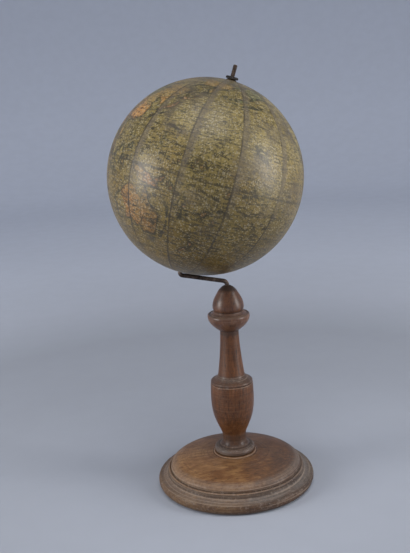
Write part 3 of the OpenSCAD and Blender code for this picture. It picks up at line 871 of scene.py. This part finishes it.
    def build(self):
        self.paper()
        self.strokes()
        self.dots(640, 0.37, 0.7, 0.54, self.INK)
        # Light specks that paint glints of the crackled varnish, and flecks of bare paper
        self.dots(690, 0.38, 0.6, 0.38, self.BARE_AND_GLINT)
        self.names(length=5.2, height=2.3, letter=0.75, tall=0.5, seed=7.3, share=0.58, amount=0.8)
        self.names(length=3.4, height=1.7, letter=0.6, tall=0.38, seed=21.7, share=0.55, amount=0.72)
        self.names(length=9.0, height=4.0, letter=1.2, tall=0.8, seed=13.9, share=0.34, amount=0.75)
        self.coasts()
        self.graticule()
        self.ageing()
        roughness = (self.noise(18, 5, 0.62) - 0.5) * 0.3 + self.dull * 0.25 + 0.42
        cracks = Field(self, self.cells(420, feature="DISTANCE_TO_EDGE").outputs["Distance"])
        crazing = cracks.step(0.05, 0.0) * self.noise(30, 2).step(0.45, 0.6)
        normal = self.bump(self.noise(480, 3, 0.65) * 1.3 - crazing * 0.5, 0.1 * MM, 0.9)
        lumps = self.noise(190, 4, 0.6) * 2.4 + self.noise(620, 2) * 1.5
        varnish = self.bump(lumps, 0.1 * MM, 0.9)
        return self.finish(roughness=roughness, normal=normal, coat_normal=varnish)


# The ball's paper

# A gore's bake layout on a square sheet: its northern half, and beside it its southern one
SHEET = 107 * MM
SHEET_EDGE = 1.3 * MM
HALF_GORE = 20.5 * MM
SOUTH_UP = 105 * MM
# The inner side and the edges lie small beside them: a middle point and a share of full size
HIDDEN_U, HIDDEN_V = 0.86, 0.5
HIDDEN_WIDTH, HIDDEN_HEIGHT = 0.3, 0.4

GORE_COLUMNS = 41
GORE_ROWS = 213
CAP_COLUMNS = 180
CAP_ROWS = 14
# How far a gore's edges lift at most, and over what width
CURL_H = 0.07 * MM
CURL_W = 1.1 * MM
# The map's longitude at azimuth 0. It turns Australia and Japan to where the photograph has them.
MAP_TURN_DEG = 280


def shell_mesh(name, outer, inner, closed):
    """A thin closed shell from two grids of points, rows by columns. closed joins the last column
    to the first."""
    rows, columns = outer.shape[:2]
    count = rows * columns
    points = np.concatenate([outer.reshape(-1, 3), inner.reshape(-1, 3)])
    index = np.arange(count).reshape(rows, columns)
    if closed:
        index = np.concatenate([index, index[:, :1]], axis=1)
    outside = np.stack([corner.ravel() for corner in (
        index[:-1, :-1], index[:-1, 1:], index[1:, 1:], index[1:, :-1])], axis=1)
    faces = [outside, outside[:, ::-1] + count]
    rims = [index[0, ::-1], index[-1, :]]
    if not closed:
        rims += [index[:, 0], index[::-1, -1]]
    for rim in rims:
        faces.append(np.stack([rim[:-1], rim[1:], rim[1:] + count, rim[:-1] + count], axis=1))
    return smooth_mesh(name, points.tolist(), np.concatenate(faces).tolist(), sharp_deg=45)


def put_attribute(mesh, name, kind, field, values):
    """Stores values by point, the same on the inner side as on the outer."""
    layer = mesh.attributes.new(name, kind, "POINT")
    layer.data.foreach_set(field, np.tile(values.ravel(), 2).astype(np.float32))


def put_map(mesh, longitude, latitude, west, east):
    """Stores what the paper's material reads. west and east are distances to the gore's edges."""
    border, tint = country_fields(longitude, latitude)
    numbers = {"coast": coast_field(longitude, latitude), "border": border,
               "chains": line_distance(longitude, latitude, CHAINS),
               "courses": line_distance(longitude, latitude, COURSES),
               "west_edge": west / MM, "east_edge": east / MM}
    for name, values in numbers.items():
        put_attribute(mesh, name, "FLOAT", "value", values)
    where = np.stack([longitude, latitude, np.zeros_like(latitude)], axis=-1)
    put_attribute(mesh, "where", "FLOAT_VECTOR", "vector", where)
    colour = np.concatenate([tint, np.ones((*latitude.shape, 1))], axis=-1)
    put_attribute(mesh, "tint", "FLOAT_COLOR", "color", colour)


def on_sphere(azimuth_deg, latitude_deg, radius):
    azimuth, latitude = np.radians(azimuth_deg), np.radians(latitude_deg)
    return np.stack([radius * np.cos(latitude) * np.cos(azimuth),
                     radius * np.cos(latitude) * np.sin(azimuth), radius * np.sin(latitude)], axis=-1)


def swell(azimuth, latitude):
    """Gentle unevenness of pasted paper, in metres, from a few sine waves in three directions."""
    points = on_sphere(azimuth, latitude, BALL_R / MM)
    x, y, z = (points[..., axis] for axis in range(3))
    slow = np.sin(x * 0.21 + 1.3 * np.sin(y * 0.13)) * np.sin(y * 0.24 + 0.7) * np.sin(z * 0.17 + 2.1)
    quick = np.sin(x * 0.71 + z * 0.33) * np.sin(y * 0.64 - z * 0.49 + 1.1)
    return (0.05 * slow + 0.018 * quick) * MM


def dress(name, mesh, material, body, *replaced):
    piece = add_object(name, mesh)
    piece.data.materials.append(material)
    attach(piece, body)
    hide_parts(*replaced)


def bake_layout(mesh, azimuth, latitude):
    """UVs for a gore: its northern half, its southern half, and what is hidden beside them."""
    x = np.radians(azimuth - azimuth.mean()) * np.cos(np.radians(latitude)) * BALL_R
    y = np.radians(latitude) * BALL_R
    corner = np.zeros(len(mesh.loops), np.int64)
    mesh.loops.foreach_get("vertex_index", corner)
    sides = np.zeros(len(mesh.polygons), np.int64)
    mesh.polygons.foreach_get("loop_total", sides)
    face = np.repeat(np.arange(len(sides)), sides)
    is_inner = corner >= x.size
    x, y = x.ravel()[corner % x.size], y.ravel()[corner % x.size]
    lowest = np.full(len(sides), 1e9)
    np.minimum.at(lowest, face, y)
    touches_inner = np.zeros(len(sides), bool)
    np.logical_or.at(touches_inner, face, is_inner)
    north = lowest[face] > -1e-9
    hidden = touches_inner[face]
    u = np.where(north, x + HALF_GORE, x + 3 * HALF_GORE + SHEET_EDGE) / SHEET
    v = np.where(north, y + SHEET_EDGE, y + SOUTH_UP) / SHEET
    u = np.where(hidden, HIDDEN_U + x / SHEET * HIDDEN_WIDTH, u)
    v = np.where(hidden, HIDDEN_V + y / SHEET * HIDDEN_HEIGHT, v)
    layer = mesh.uv_layers.new(name="OFBake")
    layer.data.foreach_set("uv", np.stack([u, v], axis=1).ravel().astype(np.float32))


def paper_mesh(name, azimuth, latitude, lift, west, east, closed):
    """A sheet of the map on the ball, lifted off it a little."""
    outer = on_sphere(azimuth, latitude, BALL_R + lift)
    inner = on_sphere(azimuth, latitude, BALL_R + lift - PAPER_T)
    mesh = shell_mesh(name, outer, inner, closed)
    longitude = azimuth + MAP_TURN_DEG
    longitude -= 360 * np.round(longitude.mean() / 360)
    put_map(mesh, longitude, latitude, west, east)
    mesh.transform(BALL_FRAME)
    return mesh


def make_gore(number, material):
    """One gore of the map, whose edges stand a hair proud of the ball."""
    step_deg = 360 / GORES
    slit_deg = math.degrees(SEAM_W / BALL_R)
    start = (number - 1) * step_deg + slit_deg / 2
    end = number * step_deg - slit_deg / 2
    latitude, azimuth = np.meshgrid(np.linspace(-CAP_LAT_DEG, CAP_LAT_DEG, GORE_ROWS),
                                    np.linspace(start, end, GORE_COLUMNS), indexing="ij")
    parallel = np.cos(np.radians(latitude)) * BALL_R
    west = np.radians(azimuth - start) * parallel
    east = np.radians(end - azimuth) * parallel
    ragged = 0.5 + 0.5 * np.sin(latitude * 0.31 + number * 2.4) * np.sin(latitude * 0.83 + number)
    curl = CURL_H * ragged * np.exp(-(np.minimum(west, east) / CURL_W) ** 2)
    node = f"gore_{number:02d}"
    lift = swell(azimuth, latitude) + curl
    mesh = paper_mesh(node + "_paper", azimuth, latitude, lift, west, east, closed=False)
    bake_layout(mesh, azimuth, latitude)
    dress(node + "_paper", mesh, material, "globe", node)


def make_cap(node, side, material):
    """A round paper cap over the gores' tips at a pole. side is 1 for north, -1 for south."""
    hole_lat = math.degrees(math.acos(CAP_HOLE_R / BALL_R))
    edge_lat = math.degrees(math.acos(math.cos(math.radians(CAP_LAT_DEG)) - SEAM_W / BALL_R))
    round_pole = np.linspace(0, 360, CAP_COLUMNS, endpoint=False) * side
    latitude, azimuth = np.meshgrid(np.linspace(edge_lat, hole_lat, CAP_ROWS) * side, round_pole,
                                    indexing="ij")
    lift = swell(azimuth, latitude) * 0.6
    from_edge = np.radians(np.abs(latitude) - edge_lat) * BALL_R
    mesh = paper_mesh(node + "_paper", azimuth, latitude, lift, from_edge, from_edge, closed=True)
    dress(node + "_paper", mesh, material, "globe", node)


# The wire

WIRE_SIDES = 36
BEND_STEPS = 14
STRAIGHT_STEP = 2 * MM
RINGS_PER_TURN = 9


def wire_path():
    """Points on the wire's middle line in the XZ plane, from the stem's bottom to the rod's end,
    with an arc at the arm's foot and one below the ball."""
    corners = [Vector((0, 0, STEM_BOTTOM)), Vector((0, 0, ARM_Z)),
               Vector((-ARM_REACH, 0, ARM_Z + ARM_RISE)), BALL_CENTRE + ROD_END * AXIS]
    points = [corners[0]]
    for before, corner, after, bend_r in zip(corners, corners[1:], corners[2:],
                                             (FOOT_BEND_R, POLE_BEND_R)):
        come = (corner - before).normalized()
        go = (after - corner).normalized()
        turn = come.angle(go)
        centre = corner + (go - come).normalized() * (bend_r / math.cos(turn / 2))
        spoke = corner - come * bend_r * math.tan(turn / 2) - centre
        axis = spoke.cross(come)
        for step in range(BEND_STEPS + 1):
            points.append(centre + Matrix.Rotation(turn * step / BEND_STEPS, 3, axis) @ spoke)
    points.append(corners[-1])
    return points


def up_axis(point):
    """Height of a point along the ball's axis, from the ball's centre."""
    return (point - BALL_CENTRE).dot(AXIS)


def wire_rings():
    """Middles of the rings that the wire is drawn through, and how many come before the thread."""
    points = wire_path()
    middles = [points[0]]
    for a, b in zip(points, points[1:]):
        pieces = max(1, round((b - a).length / STRAIGHT_STEP))
        middles += [a.lerp(b, piece / pieces) for piece in range(1, pieces + 1)]
    middles = [middle for middle in middles if up_axis(middle) < THREAD_START]
    start = BALL_CENTRE + THREAD_START * AXIS
    length = ROD_END - THREAD_START
    rings = round(length / (THREAD_PITCH / RINGS_PER_TURN))
    thread = [start + AXIS * length * ring / rings for ring in range(rings + 1)]
    return middles + thread, len(middles)


def thread_cut(height, turn):
    """How deep the thread and the end's chamfer go, at a height and a share of a turn."""
    share = (height / THREAD_PITCH - turn) % 1
    run_in = min(1, (height - THREAD_START) / THREAD_PITCH)
    run_out = min(1, (ROD_END - height) / ROD_CHAMFER_L)
    return THREAD_DEPTH * (1 - abs(2 * share - 1)) * run_in + ROD_CHAMFER_R * (1 - run_out)


def make_rod(material):
    """The bent wire, with its thread above the ball."""
    path, plain = wire_rings()
    side_way = Vector((0, 1, 0))
    points = []
    for index, point in enumerate(path):
        before, after = path[max(index - 1, 0)], path[min(index + 1, len(path) - 1)]
        out_way = side_way.cross((after - before).normalized()).normalized()
        for side in range(WIRE_SIDES):
            turn = side / WIRE_SIDES
            radius = WIRE_R
            if index >= plain:
                radius -= thread_cut(up_axis(point), turn)
            angle = 2 * math.pi * turn
            points.append(point + radius * (math.cos(angle) * out_way + math.sin(angle) * side_way))
    faces = tube_faces(len(path), WIRE_SIDES)
    last = (len(path) - 1) * WIRE_SIDES
    faces += [tuple(range(WIRE_SIDES))[::-1], tuple(range(last, last + WIRE_SIDES))]
    mesh = smooth_mesh("wire_axle", [tuple(point) for point in points], faces, sharp_deg=50)
    dress("wire_axle", mesh, material, "stand", "axle_rod")


def paint(material, *names):
    """Gives solids one material in all their slots."""
    for name in names:
        mesh = nodes[name].data
        mesh.materials.clear()
        mesh.materials.append(material)


make_camera()
make_world()
make_stage()
make_lamp("left_softbox", -72, 0.42, 1.15, (0.46, 0.62), 9.3, (1.0, 0.98, 0.96))
make_lamp("right_softbox", 74, 0.45, 1.15, (0.4, 0.8), 9.8, (1.0, 0.98, 0.96))
make_lamp("top_softbox", 10, 1.6, 0.5, (1.1, 1.1), 12.5, (1.0, 0.99, 0.98))

# Worn, dirty, dusty and rough places, as (position, half width, strength), in millimetres. Some dark
# bands are painted shade, and the grey bands also hold a painted grey sheen
BASE_BANDS = {
    "worn": [(62.4, 1.0, 0.35), (55.1, 0.8, 0.7), (51.8, 2.2, 0.25), (17.2, 0.4, 0.8)],
    "dirt_and_shade": [(53.85, 0.3, 0.8), (56.3, 0.4, 0.6), (18.0, 0.5, 0.6), (64.5, 2.6, 0.5)],
    # Grey bands at the cove by the rim and at the dome's edge: dusty bloom and a painted grey sheen
    "dust_and_sheen": [(59.3, 4.4, 0.95), (51.5, 3.6, 0.4)],
    "rough": [(59.0, 9.0, 0.9), (22.0, 9.0, 0.3)],
}
COLUMN_BANDS = {
    "worn": [(30.2, 0.8, 0.3), (86.0, 0.35, 0.6)],
    # The waist band at 37.5 and the band at 129.4 under the cup are painted shade; the others are dirt
    "dirt_and_shade": [(26.9, 0.7, 1.0), (32.5, 0.5, 0.5), (86.8, 0.4, 0.8), (37.5, 7.0, 0.6),
             (92.0, 2.6, 0.35), (129.4, 2.6, 0.55)],
    # Grey bands on the foot bead and the vase's shoulder: dusty bloom and a painted grey sheen
    "dust_and_sheen": [(29.5, 4.5, 0.85), (89.8, 3.2, 0.5)],
    "rough": [(29.5, 5.0, 0.8), (88.0, 5.0, 0.7), (62.0, 26.0, 0.1)],
}
FINIAL_BANDS = {
    "worn": [(144.15, 0.3, 0.75)],
    # The band at 130.4, under the cup, is painted shade; the others are dirt
    "dirt_and_shade": [(130.4, 1.8, 0.6), (146.9, 0.4, 0.75), (167.2, 4.0, 0.9)],
    "dust_and_sheen": [(144.6, 1.5, 0.35)],
    "rough": [(142.0, 5.0, 0.5)],
}

# The base gets painted light towards -x, its left side as the camera sees it
base_wood = Wood(
    "base_wood", along=(1, -0.3, 0.1), heart=(-0.015, -0.03, -0.04), ring_mm=1.9,
    stain=((0.043, 0.018, 0.009), (0.157, 0.07, 0.026), (0.32, 0.178, 0.075)),
    bands=BASE_BANDS, varnish=0.12, by_radius=True, sunned=(-1.1, -0.1))
column_wood = Wood(
    "column_wood", along=(0.03, 0.02, 1), heart=(0.03, 0.02, 0), ring_mm=2.4,
    stain=((0.026, 0.01, 0.004), (0.115, 0.04, 0.011), (0.21, 0.083, 0.026)),
    bands=COLUMN_BANDS, varnish=0.25)
finial_wood = Wood(
    "finial_wood", along=(0.02, 0.03, 1), heart=(-0.02, 0.03, 0), ring_mm=2.4,
    stain=((0.03, 0.012, 0.007), (0.125, 0.05, 0.022), (0.22, 0.105, 0.05)),
    bands=FINIAL_BANDS, varnish=0.4)
iron = dark_metal(
    "dark_iron", base=(0.024, 0.02, 0.018), rust=(0.08, 0.055, 0.042), shine=(0.21, 0.165, 0.14),
    roughness=0.5)
nut_metal = dark_metal(
    "nut_metal", base=(0.026, 0.026, 0.028), rust=(0.05, 0.042, 0.038), shine=(0.12, 0.11, 0.1),
    roughness=0.46)
eyelet_brass = dark_metal(
    "eyelet_brass", base=(0.05, 0.035, 0.02), rust=(0.11, 0.075, 0.04), shine=(0.2, 0.14, 0.07),
    roughness=0.42)
pulp = raw_material("paper_pulp", (0.36, 0.28, 0.17), (0.55, 0.45, 0.3), 260, 0.9)
plaster = raw_material("plaster", (0.58, 0.54, 0.44), (0.72, 0.68, 0.58), 180, 0.8)
raw_wood = raw_material(
    "block_wood", (0.34, 0.21, 0.11), (0.55, 0.39, 0.22), 420, 0.75, stretch=(1, 1, 12.5))

paint(base_wood.build(), "base")
paint(column_wood.build(), "pillar")
paint(finial_wood.build(), "acorn_finial")
paint(iron, "north_washer")
paint(nut_metal, "thumb_nut")
paint(eyelet_brass, "north_eyelet", "south_eyelet")
paint(pulp, "north_hemisphere", "south_hemisphere", "joining_strip")
paint(raw_wood, "north_block", "south_block")
paint(plaster, "plaster_coat")

map_paper = Printing().build()
for number in range(1, GORES + 1):
    make_gore(number, map_paper)
make_cap("north_cap", 1, map_paper)
make_cap("south_cap", -1, map_paper)
make_rod(iron)

bpy.context.scene.view_settings.view_transform = "Standard"
